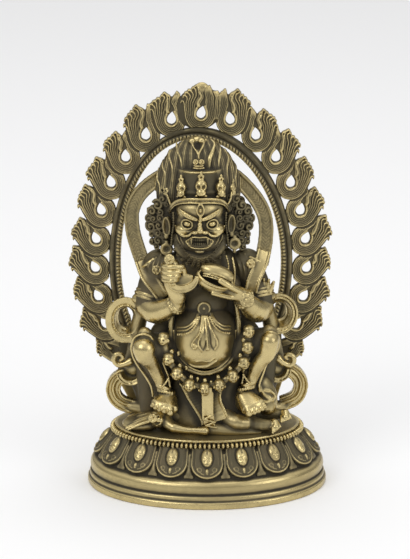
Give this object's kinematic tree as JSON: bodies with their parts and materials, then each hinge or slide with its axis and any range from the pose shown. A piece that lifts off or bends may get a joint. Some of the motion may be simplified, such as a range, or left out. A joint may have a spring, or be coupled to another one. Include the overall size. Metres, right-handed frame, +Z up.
{
  "type": "mahakala figure",
  "caption": "Cast brass mahakala standing on a lying figure before a flame aureole, on an oval lotus base; stands on its flat underside as a shelf or altar ornament.",
  "frame": {"origin": "middle of the base's flat underside", "axes": "+Z up, the deity faces -Y, +X to the viewer's right"},
  "size_m": [0.1322, 0.0894, 0.2037],
  "materials": {
    "brass": "cast brass, rubbed bright on the high places, dark olive brown patina in the recesses",
    "patinated_brass": "cast brass under an even olive brown patina, rubbed bright along its raised ridges"
  },
  "bodies": {
    "root": {"lotus_base": "brass", "mahakala_figure": "brass", "flame_aureole": "patinated_brass"}
  },
  "joints": []
}
